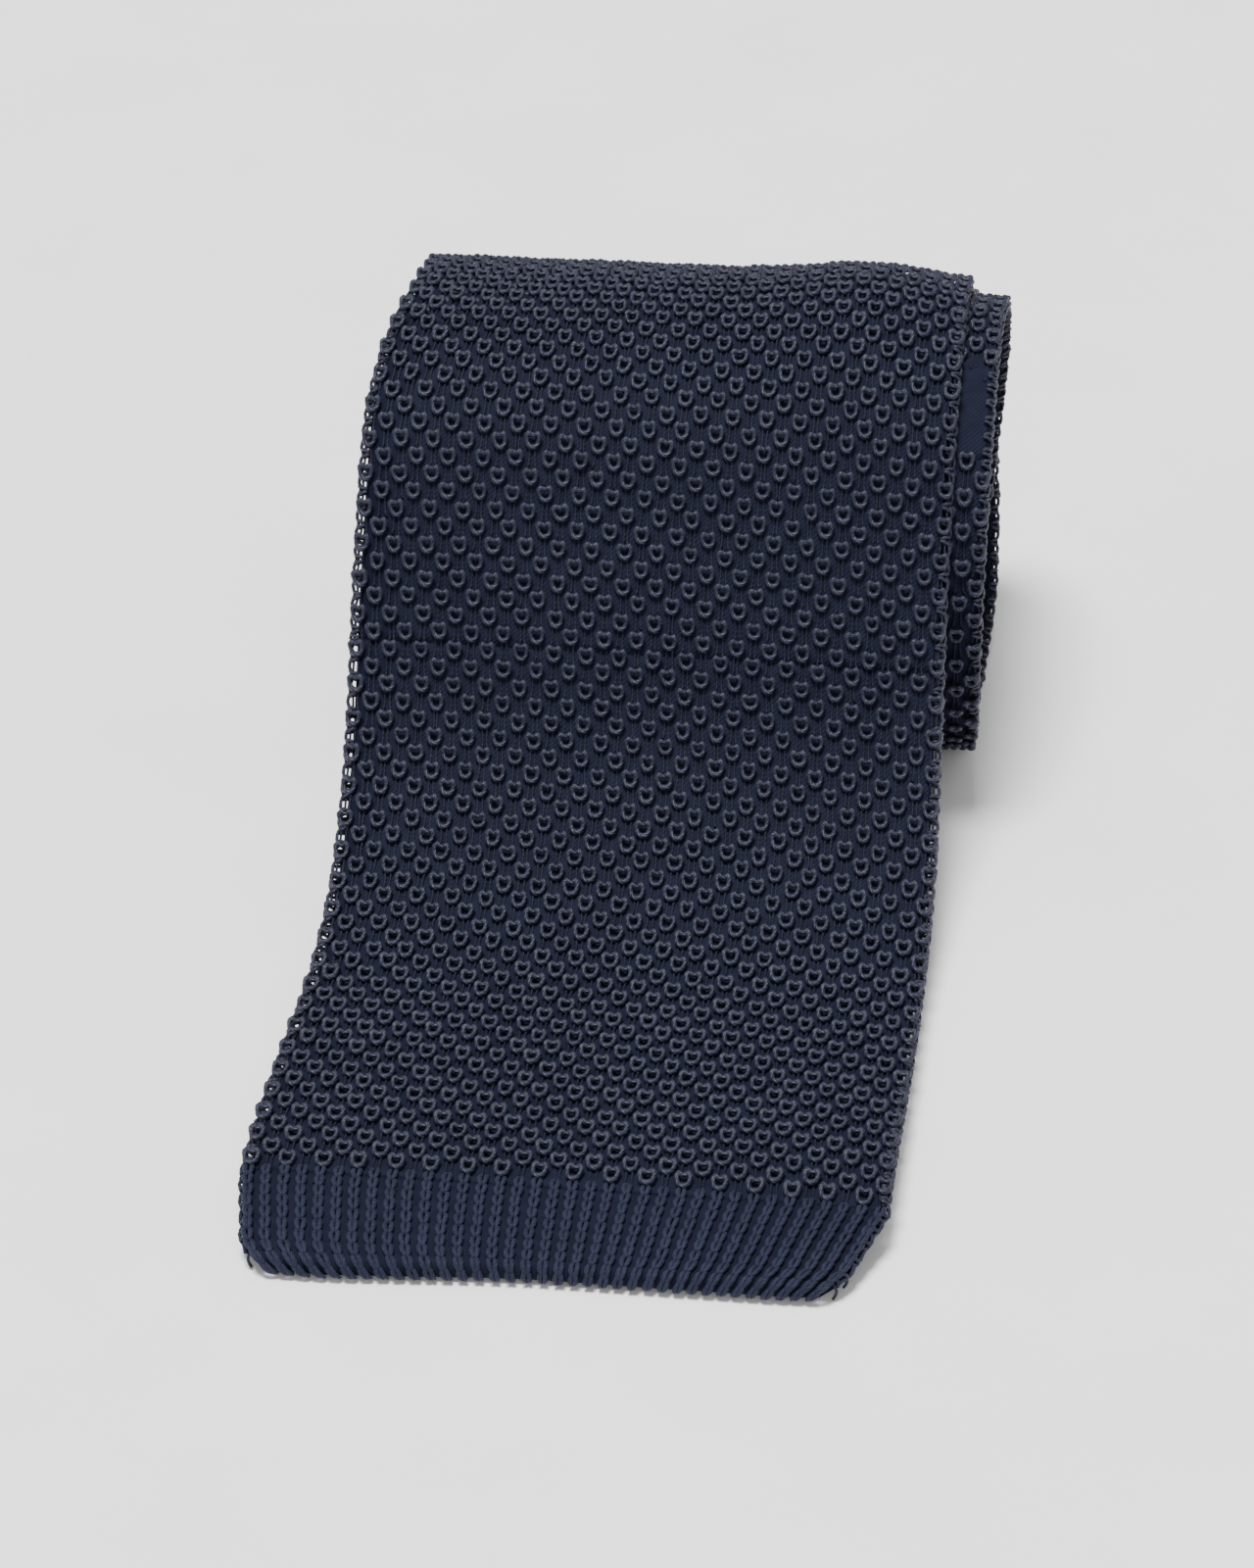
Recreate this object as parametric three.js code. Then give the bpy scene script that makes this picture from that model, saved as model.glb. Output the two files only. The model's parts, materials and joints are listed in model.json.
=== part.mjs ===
// A knitted necktie with square ends, rolled up from its narrow end. The wide blade comes off the
// top of the roll, hangs down its front and runs out over the table to its plain-knit hem.
//
// The tie is one flat knitted tube: a face, and two sides folded behind it that meet at a seam down
// the middle of the back. Every piece follows one profile in the YZ plane, the outer surface of the
// face, and is given by its reach across the tie (x) and its depth under that surface.
//
// Units are millimetres and degrees. X runs across the tie, -Y is where the blade points, +Z is up.
import * as THREE from "three";

// The tie, laid flat. Places along it are measured on the face from the end of the blade's hem.
const tieLength = 1400;
const bladeWidth = 63.5;
const neckWidth = 36;
const tailWidth = 50;
const bladeStraight = 330;
const neckStart = 600;
const neckEnd = 960;
const tailStart = 1230;

// The cloth: face, sides folded behind it, the fold at each edge and the hollow between.
const faceThickness = 0.5;
const backThickness = 0.4;
const foldThickness = 0.6;
const bladeHollow = 0.2;
const neckHollow = 0.55;

// The roll, wound round an open core until the tie runs out, so its outside follows from the tie's
// length. Each turn keeps its radius over roundFacets, and ramps inwards over the others.
const coreRadius = 4.54;
const facetsPerTurn = 20;
const roundFacets = 13;
const departAngle = 45;
const turnGap = 0.3;
const gapEase = 60;

// The free end of the blade: a straight run off the roll, a hollow curve at its foot, a flat run.
const panelSlope = 54;
const footRadius = 45;
const footFacets = 6;
const flatRun = 29;
const restHeight = 5;

// The hems: plain knit folded round the end, with a facing turned up inside.
const hemSlope = 14;
const hemEndThickness = 2.7;
const hemInset = 1.35;
const hemFacets = 6;
const hemWrap = 150;
const facingThickness = 0.3;
const facingReach = 0.45;
const tailHemLength = 12;
const stitchWidth = 0.6;

// The seam and its tacks.
const seamWidth = 0.4;
const tackSetback = 6;
const tackLength = 1.4;
const tackWidth = 5;
const tackThickness = 0.3;

// Pieces sewn to the back of the blade.
const keeperPlace = 214;
const keeperWidth = 8;
const keeperSpan = 44;
const keeperThickness = 0.25;
const keeperTackSpan = 3;
const labelPlace = 176;
const labelLength = 24;
const labelSpan = 40;
const labelThickness = 0.2;
const tagPlace = 148;
const tagLength = 16;
const tagSpan = 11;
const tagThickness = 0.15;

// The tape that keeps the neck from stretching.
const tapeSpan = 10;
const tapeThickness = 0.15;
const tapeEnds = 4;

// How far the wound turns stand to the side: the second turn's front, and the turns inside it.
const sideDrift = 2.8;
const settledDrift = 0.9;

// Clearance between neighbouring pieces, and the gap at each place where the tie is divided.
const clearance = 0.3;
const splitGap = 0.3;

const radians = THREE.MathUtils.degToRad;
const lerp = THREE.MathUtils.lerp;
const smooth = THREE.MathUtils.smoothstep;

// ------------------------------------------------------------------- sizes along the tie

const tailHem = tieLength - tailHemLength;
const tailTack = tailHem - tackSetback - tackLength;

// 1 in the neck, 0 in the blade and the tail.
function neckShare(s) {
  return smooth(s, bladeStraight, neckStart) - smooth(s, neckEnd, tailStart);
}

function hollowAt(s) {
  const hemHollow = facingThickness + 2 * clearance;
  const body = lerp(bladeHollow, neckHollow, neckShare(s));
  return lerp(body, hemHollow, smooth(s, tailHem - tailHemLength, tailHem));
}

// Depth from the face to the outside of the folded back.
function tieDepth(s) {
  return faceThickness + hollowAt(s) + backThickness;
}

// Room between turns for the thickest piece on the blade's back.
const sewnTurnGap = Math.max(keeperThickness, labelThickness, tackThickness) + 2 * clearance;

// The turns lie further apart as far as the pieces sewn to the blade's back reach, and again at
// the tail's bar tack.
function gapAt(s) {
  const sewnEnd = keeperPlace + keeperWidth + clearance;
  const closed = smooth(s, sewnEnd, sewnEnd + gapEase) - smooth(s, tailTack - gapEase, tailTack);
  return lerp(sewnTurnGap, turnGap, closed);
}

// ------------------------------------------------------------------- profile of the face

const hemRound = hemEndThickness / 2;

// A corner of the roll, at an angle from its top that is positive towards the blade's free end. The
// facets between corners touch the true radius, and one of them lies flat on the table.
function rollCorner(rollRadius, radius, angle) {
  const reach = radius / Math.cos(Math.PI / facetsPerTurn);
  const y = -reach * Math.sin(radians(angle));
  const z = rollRadius + reach * Math.cos(radians(angle));
  return new THREE.Vector2(y, z);
}

// The free end, from under the hem's round end to the foot of the straight run off the roll.
// Directions are angles from +Y towards +Z.
function freeEndProfile(rollRadius) {
  const depart = rollCorner(rollRadius, rollRadius, departAngle);
  const footRise = footRadius * (1 - Math.cos(radians(panelSlope)));
  const footReach = footRadius * Math.sin(radians(panelSlope));
  const panelReach = (depart.y - restHeight - footRise) / Math.tan(radians(panelSlope));
  const flatStart = depart.x - panelReach - footReach;
  const hemStart = new THREE.Vector2(flatStart - flatRun, restHeight);
  const roundTop = hemRound * (1 + Math.cos(radians(hemSlope)));
  const hemReach = (restHeight - roundTop) / Math.tan(radians(hemSlope));
  const roundCentre = hemStart.x - hemReach + hemRound * Math.sin(radians(hemSlope));

  const points = [];
  for (let i = 0; i <= hemFacets; i++) {
    const direction = radians(lerp(hemWrap, hemSlope, i / hemFacets));
    points.push(new THREE.Vector2(
      roundCentre - hemRound * Math.sin(direction),
      hemRound + hemRound * Math.cos(direction),
    ));
  }
  points.push(hemStart);
  for (let i = 0; i <= footFacets; i++) {
    const direction = radians(panelSlope * i / footFacets);
    points.push(new THREE.Vector2(
      flatStart + footRadius * Math.sin(direction),
      restHeight + footRadius * (1 - Math.cos(direction)),
    ));
  }
  points.push(depart);
  return { points, hemStart, roundCentre };
}

// The wound part, inwards from the place where the blade leaves the roll, until the tie runs out.
// Each turn lies inside the turn before it by that turn's own depth and the gap between turns.
function woundProfile(rollRadius, depart, startLength) {
  const points = [depart];
  const radii = [rollRadius];
  const lengths = [startLength];
  const firstDrop = tieDepth(startLength) + gapAt(startLength);
  for (let k = 1; lengths[k - 1] < tieLength; k++) {
    let radius;
    if (k < facetsPerTurn) {
      const ramp = Math.max(0, k - roundFacets) / (facetsPerTurn - roundFacets);
      radius = rollRadius - firstDrop * ramp;
    } else {
      const outer = k - facetsPerTurn;
      radius = radii[outer] - tieDepth(lengths[outer]) - gapAt(lengths[outer]);
    }
    const point = rollCorner(rollRadius, radius, departAngle - k * 360 / facetsPerTurn);
    lengths.push(lengths[k - 1] + point.distanceTo(points[k - 1]));
    points.push(point);
    radii.push(radius);
  }
  const [before, after] = lengths.slice(-2);
  const share = (tieLength - before) / (after - before);
  return { points, innerRadius: lerp(radii.at(-2), radii.at(-1), share) };
}

function lengthsAlong(points) {
  const lengths = [0];
  for (let i = 1; i < points.length; i++) {
    lengths.push(lengths[i - 1] + points[i].distanceTo(points[i - 1]));
  }
  return lengths;
}

// The whole face profile for one size of roll.
function layOut(rollRadius) {
  const free = freeEndProfile(rollRadius);
  const depart = free.points.at(-1);
  const wound = woundProfile(rollRadius, depart, lengthsAlong(free.points).at(-1));
  return { free, innerRadius: wound.innerRadius, points: [...free.points, ...wound.points.slice(1)] };
}

// The roll whose core comes out at its size, by halving the range that it lies in.
function fittedLayOut() {
  let small = coreRadius;
  let large = coreRadius + tieLength / 10;
  for (let i = 0; i < 40; i++) {
    const tried = (small + large) / 2;
    if (layOut(tried).innerRadius < coreRadius) {
      small = tried;
    } else {
      large = tried;
    }
  }
  return layOut(large);
}

const { free, points: profile } = fittedLayOut();
const along = lengthsAlong(profile);

// Where the tie bends and where its turns and hems begin.
const departIndex = free.points.length - 1;
const footIndex = departIndex - 1 - footFacets / 2;
const hemEdge = along[hemFacets + 1];
const footBend = along[footIndex];
const peelBend = along[departIndex];
const secondTurn = along[departIndex + facetsPerTurn];
const thirdTurn = along[departIndex + 2 * facetsPerTurn];

function facetDirection(i) {
  return profile[i + 1].clone().sub(profile[i]).normalize();
}

function facetAt(s) {
  const next = along.findIndex((length) => length > s);
  return (next < 0 ? along.length - 1 : next) - 1;
}

function pointAt(s) {
  const i = facetAt(s);
  const t = (s - along[i]) / (along[i + 1] - along[i]);
  return profile[i].clone().lerp(profile[i + 1], t);
}

// The step inwards for one millimetre of depth, along the mitre between two directions.
function inwardStep(before, after) {
  const sum = new THREE.Vector2(before.y + after.y, -before.x - after.x);
  return sum.multiplyScalar(1 / (1 + before.dot(after)));
}

// The step for a piece's end at a place. It follows the mitre of a corner that the end's depth could
// cross, so pieces that meet at a place end in parallel faces.
function endStep(place) {
  const reach = tieDepth(tieLength) * Math.tan(Math.PI / facetsPerTurn) + splitGap;
  const distances = along.map((length) => Math.abs(length - place));
  const i = distances.indexOf(Math.min(...distances.slice(1, -1)));
  if (distances[i] < reach) {
    return inwardStep(facetDirection(i - 1), facetDirection(i));
  }
  const direction = facetDirection(facetAt(place));
  return inwardStep(direction, direction);
}

// Cross-section places from one place along the tie to another: both ends, set back by half the gap
// to what they meet, and each corner between.
function stations(from, to, gap) {
  const start = from + gap / 2;
  const end = to - gap / 2;
  const list = [{ s: start, point: pointAt(start), step: endStep(from) }];
  for (let i = 1; i < profile.length - 1; i++) {
    if (along[i] > start + 0.01 && along[i] < end - 0.01) {
      const step = inwardStep(facetDirection(i - 1), facetDirection(i));
      list.push({ s: along[i], point: profile[i], step });
    }
  }
  list.push({ s: end, point: pointAt(end), step: endStep(to) });
  return list;
}

// Sideways place of the tie's middle line. The second turn stands proud of the blade's edge at the
// front of the roll, and the turns inside it settle back.
function driftAt(s) {
  const rise = smooth(s, lerp(peelBend, secondTurn, 0.6), secondTurn);
  const fall = smooth(s, secondTurn, lerp(secondTurn, thirdTurn, 0.6));
  return sideDrift * rise - (sideDrift - settledDrift) * fall;
}

function halfWidthAt(s) {
  const narrowed = lerp(bladeWidth, neckWidth, smooth(s, bladeStraight, neckStart));
  const body = lerp(narrowed, tailWidth, smooth(s, neckEnd, tailStart));
  return body / 2 - hemInset * (1 - Math.min(1, s / hemEdge));
}

// ------------------------------------------------------------------- solids

// Joins each ring of points to the next and closes both ends. The outline is the rings' shape in
// the plane whose axes make a right-handed frame with the direction of the loft.
function loft(rings, outline) {
  const count = outline.length;
  const index = [];
  for (let r = 0; r < rings.length - 1; r++) {
    for (let j = 0; j < count; j++) {
      const a = r * count + j;
      const b = r * count + (j + 1) % count;
      index.push(a, b, a + count);
      index.push(b, b + count, a + count);
    }
  }
  const end = (rings.length - 1) * count;
  const flat = outline.map(([u, v]) => new THREE.Vector2(u, v));
  for (const [a, b, c] of THREE.ShapeUtils.triangulateShape(flat, [])) {
    index.push(a, c, b);
    index.push(end + a, end + b, end + c);
  }
  const positions = rings.flat().flatMap((p) => [p.x, p.y, p.z]);
  const geometry = new THREE.BufferGeometry();
  geometry.setAttribute("position", new THREE.Float32BufferAttribute(positions, 3));
  geometry.setIndex(index);
  geometry.computeVertexNormals();
  return geometry;
}

function piece(name, material, geometry) {
  const mesh = new THREE.Mesh(geometry, material);
  mesh.name = name;
  return mesh;
}

// A piece that follows the tie. outline(s) lists its corners as [across, depth].
function follow(name, material, from, to, gap, outline) {
  const rings = stations(from, to, gap).map(({ s, point, step }) =>
    outline(s).map(([x, depth]) => new THREE.Vector3(
      x + driftAt(s),
      point.x + step.x * depth,
      point.y + step.y * depth,
    )));
  return piece(name, material, loft(rings, outline(from)));
}

// A piece of one outline in the YZ plane, from one reach across the tie to another.
function across(name, material, outline, low, high) {
  const rings = [low, high].map((reach) =>
    outline.map(([y, z]) => new THREE.Vector3(reach(y), y, z)));
  return piece(name, material, loft(rings, outline));
}

function strip(left, right, top, bottom) {
  return [[left, top], [right, top], [right, bottom], [left, bottom]];
}

// ------------------------------------------------------------------- materials

function cloth(colour, roughness) {
  return new THREE.MeshStandardMaterial({ color: colour, roughness, metalness: 0 });
}

const knit = cloth(0x23283c, 0.78);
const plainKnit = cloth(0x262b40, 0.72);
const thread = cloth(0x1c2032, 0.6);
const satin = cloth(0x14161f, 0.4);
const whiteTape = cloth(0xd9d5c8, 0.85);

// ------------------------------------------------------------------- pieces

// The knitted tube, folded flat and open only along the seam in the middle of its back.
function shellOutline(s) {
  const w = halfWidthAt(s);
  const fold = w - foldThickness;
  const slot = seamWidth / 2 + clearance;
  const back = tieDepth(s);
  const inner = back - backThickness;
  return [
    [-w, 0],
    [w, 0],
    [w, back],
    [slot, back],
    [slot, inner],
    [fold, inner],
    [fold, faceThickness],
    [-fold, faceThickness],
    [-fold, inner],
    [-slot, inner],
    [-slot, back],
    [-w, back],
  ];
}

function seamOutline(s) {
  const back = tieDepth(s);
  return strip(-seamWidth / 2, seamWidth / 2, back - backThickness, back);
}

// A stretch of the knitted tube and its seam.
function tube(name, from, to) {
  return [
    follow(`${name}_shell`, knit, from, to, splitGap, shellOutline),
    follow(`${name}_seam`, thread, from, to, splitGap, seamOutline),
  ];
}

// A flat piece sewn to the back of the tie.
function sewnOn(name, material, from, length, middle, span, thickness) {
  return follow(name, material, from, from + length, 0, (s) => {
    const top = tieDepth(s) + clearance;
    return strip(middle - span / 2, middle + span / 2, top, top + thickness);
  });
}

function barTack(name, from) {
  return sewnOn(name, thread, from, tackLength, 0, tackWidth, tackThickness);
}

// The blade's hem. Its face goes round the end, its back lies on the table at the toe and rises to
// meet the blade, and the facing and the closing stitches at both sides lie between them.
function bladeHem() {
  const heel = free.hemStart.x - splitGap / 2;
  const toe = free.roundCentre;
  const heelUnder = restHeight - tieDepth(hemEdge);
  const middle = lerp(toe, heel, facingReach);
  const faceUnder = (y) => lerp(restHeight, hemEndThickness, (heel - y) / (heel - toe))
    - faceThickness / Math.cos(radians(hemSlope));
  const backTop = (y) => backThickness + lerp(heelUnder, 0, (heel - y) / (heel - toe));
  const halfWidth = (y) => bladeWidth / 2 - hemInset * (heel - y) / (heel - toe);
  const between = (low, high) => [
    [toe, low(toe)],
    [middle, low(middle)],
    [middle, high(middle)],
    [toe, high(toe)],
  ];

  const face = follow("hem_face", plainKnit, 0, hemEdge, splitGap, (s) =>
    strip(-halfWidthAt(s), halfWidthAt(s), 0, faceThickness));
  const backOutline = [[toe, 0], [heel, heelUnder], [heel, backTop(heel)], [toe, backTop(toe)]];
  const back = across("hem_back", plainKnit, backOutline, (y) => -halfWidth(y), halfWidth);

  const centre = (y) => (faceUnder(y) + backTop(y)) / 2;
  const facingOutline = between(
    (y) => centre(y) - facingThickness / 2,
    (y) => centre(y) + facingThickness / 2,
  );
  const facingSide = (y) => halfWidth(y) - stitchWidth - clearance;
  const facing = across("hem_facing", plainKnit, facingOutline, (y) => -facingSide(y), facingSide);

  const stitchOutline = between((y) => backTop(y) + clearance, (y) => faceUnder(y) - clearance);
  const stitchSide = (y) => halfWidth(y) - stitchWidth;
  const left = across("hem_stitch_left", thread, stitchOutline,
    (y) => -halfWidth(y), (y) => -stitchSide(y));
  const right = across("hem_stitch_right", thread, stitchOutline, stitchSide, halfWidth);
  return [face, facing, back, left, right];
}

// The narrow end's hem, at the core of the roll.
function tailEndHem() {
  const side = halfWidthAt;
  const hemPiece = (name, material, outline) =>
    follow(`tail_hem_${name}`, material, tailHem, tieLength, splitGap, outline);
  const face = hemPiece("face", plainKnit, (s) =>
    strip(-side(s), side(s), 0, faceThickness));
  const back = hemPiece("back", plainKnit, (s) =>
    strip(-side(s), side(s), tieDepth(s) - backThickness, tieDepth(s)));
  const top = faceThickness + clearance;
  const facing = hemPiece("facing", plainKnit, (s) => {
    const reach = side(s) - stitchWidth - clearance;
    return strip(-reach, reach, top, top + facingThickness);
  });
  const left = hemPiece("stitch_left", thread, (s) =>
    strip(-side(s), stitchWidth - side(s), top, top + facingThickness));
  const right = hemPiece("stitch_right", thread, (s) =>
    strip(side(s) - stitchWidth, side(s), top, top + facingThickness));
  return [face, facing, back, left, right];
}

function keeper() {
  const tackMiddle = keeperSpan / 2 + clearance + keeperTackSpan / 2;
  const tack = (side, middle) => sewnOn(`keeper_tack_${side}`, thread, keeperPlace, keeperWidth,
    middle, keeperTackSpan, keeperThickness);
  return [
    sewnOn("keeper_loop", satin, keeperPlace, keeperWidth, 0, keeperSpan, keeperThickness),
    tack("left", -tackMiddle),
    tack("right", tackMiddle),
  ];
}

function labels() {
  const tagMiddle = seamWidth / 2 + clearance + tagSpan / 2;
  return [
    sewnOn("blank_label", satin, labelPlace, labelLength, 0, labelSpan, labelThickness),
    sewnOn("care_tag", whiteTape, tagPlace, tagLength, tagMiddle, tagSpan, tagThickness),
  ];
}

function stayTape() {
  const top = faceThickness + (neckHollow - tapeThickness) / 2;
  return follow("neck_stay_tape", whiteTape, neckStart + tapeEnds, neckEnd - tapeEnds, 0, () =>
    strip(-tapeSpan / 2, tapeSpan / 2, top, top + tapeThickness));
}

const tie = new THREE.Group();
const wound = new THREE.Group();
tie.add(wound);
wound.add(
  ...bladeHem(),
  ...tube("blade_end", hemEdge, footBend),
  barTack("blade_bar_tack", hemEdge + tackSetback),
  ...tube("front_panel", footBend, peelBend),
  ...tube("outer_turn", peelBend, secondTurn),
  ...keeper(),
  ...labels(),
  ...tube("second_turn", secondTurn, thirdTurn),
  ...tube("inner_blade", thirdTurn, neckStart),
  ...tube("neck", neckStart, neckEnd),
  stayTape(),
  ...tube("tail", neckEnd, tailHem),
  barTack("tail_bar_tack", tailTack),
  ...tailEndHem(),
);

// The origin is under the middle of the whole tie, on the table.
const box = new THREE.Box3().setFromObject(wound);
const middle = box.getCenter(new THREE.Vector3());
wound.position.set(-middle.x, -middle.y, -box.min.z);

export default tie;
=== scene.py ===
"""A knitted necktie with square ends, rolled up from its narrow end.

Every piece follows one smooth profile in the YZ plane: the outer surface of the tie's face, from
the end of the blade's hem, over the roll and inwards to the core. A place on the tie is given in
millimetres by s, the distance along that profile, x, the distance from the tie's middle line, and
h, the height over the face (negative inside the cloth and behind it).
"""
import json
import math

import bpy
import numpy as np
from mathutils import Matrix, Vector


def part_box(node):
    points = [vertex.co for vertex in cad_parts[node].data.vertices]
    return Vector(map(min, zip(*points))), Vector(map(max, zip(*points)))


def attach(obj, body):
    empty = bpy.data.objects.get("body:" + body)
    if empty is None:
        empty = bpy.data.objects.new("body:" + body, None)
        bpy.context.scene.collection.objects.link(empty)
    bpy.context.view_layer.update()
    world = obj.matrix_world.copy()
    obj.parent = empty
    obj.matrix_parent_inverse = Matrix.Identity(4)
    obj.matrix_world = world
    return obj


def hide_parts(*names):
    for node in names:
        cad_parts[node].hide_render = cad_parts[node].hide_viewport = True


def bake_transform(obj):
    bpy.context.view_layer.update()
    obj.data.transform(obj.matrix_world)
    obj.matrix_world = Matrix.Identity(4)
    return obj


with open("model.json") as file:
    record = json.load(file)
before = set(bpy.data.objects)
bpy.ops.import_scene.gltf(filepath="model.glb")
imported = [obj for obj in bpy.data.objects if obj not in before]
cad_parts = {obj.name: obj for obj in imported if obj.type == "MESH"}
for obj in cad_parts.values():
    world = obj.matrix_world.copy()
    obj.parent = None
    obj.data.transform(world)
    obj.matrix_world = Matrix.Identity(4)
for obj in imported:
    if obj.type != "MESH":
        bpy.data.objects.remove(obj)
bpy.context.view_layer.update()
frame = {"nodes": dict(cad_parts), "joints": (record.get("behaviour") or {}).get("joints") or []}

MM = 0.001
rng = np.random.default_rng(7)

# ------------------------------------------------------------------ sizes in mm, the CAD's

TIE_LENGTH = 1400.0
BLADE_WIDTH, NECK_WIDTH, TAIL_WIDTH = 63.5, 36.0, 50.0
BLADE_STRAIGHT, NECK_START, NECK_END, TAIL_START = 330.0, 600.0, 960.0, 1230.0
TAIL_HEM_LENGTH = 12.0
FACE_THICKNESS, BACK_THICKNESS = 0.5, 0.4
BLADE_HOLLOW, NECK_HOLLOW, TAIL_HEM_HOLLOW = 0.2, 0.55, 0.9
KEEPER_PLACE, KEEPER_WIDTH, KEEPER_SPAN, KEEPER_THICKNESS = 214.0, 8.0, 44.0, 0.25
LABEL_PLACE, LABEL_LENGTH, LABEL_SPAN, LABEL_THICKNESS = 176.0, 24.0, 40.0, 0.2
TAG_PLACE, TAG_LENGTH, TAG_SPAN, TAG_THICKNESS = 148.0, 16.0, 11.0, 0.15
SEWN_GAP, TURN_GAP, GAP_EASE, CLEARANCE = 0.9, 0.3, 60.0, 0.3
TAIL_EASE_START, TAIL_EASE_END = 1320.0, 1380.0
PANEL_SLOPE, FOOT_RADIUS, FLAT_RUN = 54.0, 45.0, 29.0
HEM_SLOPE, HEM_WRAP, HEM_ROUND, HEM_FILLET = 14.0, 150.0, 1.35, 6.0
HEM_REACH, HEM_DROP = 9.06, 2.2
DEPART, ROUND_TURN = 45.0, 234.0

# The smooth spiral ends nearer the axis than the CAD's facets, and stops here at the latest.
CORE_RADIUS = 3.0

_, turn_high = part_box("outer_turn_shell")
ROLL_RADIUS = turn_high.z / MM / 2
AXIS_Y = turn_high.y / MM - ROLL_RADIUS
panel_low, panel_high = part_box("blade_end_shell")
BLADE_X = (panel_low.x + panel_high.x) / 2 / MM
HINGE = {j["name"]: np.array(j["pos_m"]) / MM for j in frame["joints"]}
REST_HEIGHT = HINGE["curl_of_hem"][2]


def smooth(v, low, high):
    t = np.clip((np.asarray(v, float) - low) / (high - low), 0, 1)
    return t * t * (3 - 2 * t)


def lerp(a, b, t):
    return a + (b - a) * t


def bump(v, middle, width):
    return np.exp(-(((np.asarray(v, float) - middle) / width) ** 2))


def hollow(s):
    neck = smooth(s, BLADE_STRAIGHT, NECK_START) - smooth(s, NECK_END, TAIL_START)
    tail = smooth(s, TIE_LENGTH - 2 * TAIL_HEM_LENGTH, TIE_LENGTH - TAIL_HEM_LENGTH)
    return lerp(lerp(BLADE_HOLLOW, NECK_HOLLOW, neck), TAIL_HEM_HOLLOW, tail)


def depth(s):
    return FACE_THICKNESS + hollow(s) + BACK_THICKNESS


def turn_gap(s):
    sewn_end = KEEPER_PLACE + KEEPER_WIDTH + CLEARANCE
    closed = smooth(s, sewn_end, sewn_end + GAP_EASE)
    closed = closed - smooth(s, TAIL_EASE_START, TAIL_EASE_END)
    return lerp(SEWN_GAP, TURN_GAP, closed)


# ------------------------------------------------------------------ the profile of the face


def free_profile():
    """Directions along the free end, from the roll's top backwards to the end of the hem."""
    slope = math.radians(PANEL_SLOPE)
    drop = 2 * ROLL_RADIUS - REST_HEIGHT
    curved = (ROLL_RADIUS + FOOT_RADIUS) * (1 - math.cos(slope))
    straight = (drop - curved) / math.sin(slope)
    hem_run = math.hypot(HEM_REACH - HEM_FILLET / 2, HEM_DROP)
    hem_slope, wrap = math.radians(HEM_SLOPE), math.radians(HEM_WRAP)
    stretches = [
        (ROLL_RADIUS * slope, 0.0, slope),
        (straight, slope, slope),
        (FOOT_RADIUS * slope, slope, 0.0),
        (FLAT_RUN - HEM_FILLET / 2, 0.0, 0.0),
        (HEM_FILLET, 0.0, hem_slope),
        (hem_run, hem_slope, hem_slope),
        (HEM_ROUND * (wrap - hem_slope), hem_slope, wrap),
    ]
    step = 0.05
    marks = [0.0]
    turns = []
    for length, before, after in stretches:
        count = max(2, int(length / step))
        t = (np.arange(count) + 0.5) / count
        turns.append(np.column_stack((np.full(count, length / count), lerp(before, after, t))))
        marks.append(marks[-1] + length)
    turns = np.vstack(turns)
    ends = np.vstack(([0, 0], np.cumsum(
        np.column_stack((turns[:, 0] * np.cos(turns[:, 1]), turns[:, 0] * np.sin(turns[:, 1]))),
        axis=0)))
    angles = np.concatenate(([0.0], turns[:, 1]))
    back = np.concatenate(([0.0], np.cumsum(turns[:, 0])))
    return back, -ends[:, 0], 2 * ROLL_RADIUS - ends[:, 1], angles, marks


def wound_profile(start):
    """The roll from its top inwards. A turn lies inside the one before it by its depth and gap."""
    step = 1.5
    per_turn = int(360 / step)
    first = int(round(DEPART / step))
    radii = [ROLL_RADIUS] * (first + 1)
    lengths = [start + (i - first) * math.radians(step) * ROLL_RADIUS for i in range(first + 1)]
    drop = depth(lengths[0]) + turn_gap(lengths[0])
    k = first
    while lengths[-1] < TIE_LENGTH and radii[-1] > CORE_RADIUS:
        k += 1
        if k <= per_turn:
            radius = ROLL_RADIUS - drop * float(smooth(k * step, ROUND_TURN, 360.0))
        else:
            outer = k - per_turn
            radius = radii[outer] - depth(lengths[outer]) - turn_gap(lengths[outer])
        lengths.append(lengths[-1] + math.radians(step) * (radius + radii[-1]) / 2)
        radii.append(float(radius))
    radii, lengths = np.array(radii[first:]), np.array(lengths[first:])
    angle = np.radians(DEPART - (np.arange(len(radii)) + first) * step)
    y = -radii * np.sin(angle)
    z = ROLL_RADIUS + radii * np.cos(angle)
    direction = np.unwrap(np.arctan2(np.gradient(z), np.gradient(y)))
    return lengths, y, z, direction - round(direction[0] / math.tau) * math.tau


back, free_y, free_z, free_angle, free_marks = free_profile()
CREST = free_marks[-1]
wound_s, wound_y, wound_z, wound_angle = wound_profile(CREST)
S = np.concatenate((CREST - back[::-1], wound_s[1:]))
Y = np.concatenate((free_y[::-1], wound_y[1:]))
Z = np.concatenate((free_z[::-1], wound_z[1:]))
A = np.concatenate((free_angle[::-1], wound_angle[1:]))
S_END = min(TIE_LENGTH, S[-1])

S_PEEL = CREST - ROLL_RADIUS * math.radians(DEPART)
S_FOOT = CREST - (free_marks[2] + free_marks[3]) / 2
S_HEM = CREST - (free_marks[4] + free_marks[5]) / 2


def turns_from_peel(count):
    """The place a number of whole turns inwards from where the blade leaves the roll."""
    angle = math.radians(DEPART) - count * math.tau
    return float(np.interp(-angle, -A[S > S_PEEL - 1], S[S > S_PEEL - 1]))


S_SECOND, S_THIRD = turns_from_peel(1), turns_from_peel(2)
S_A, S_B, S_C = S_HEM + 20.0, (S_FOOT + S_PEEL) / 2, S_PEEL + 14.0


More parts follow.
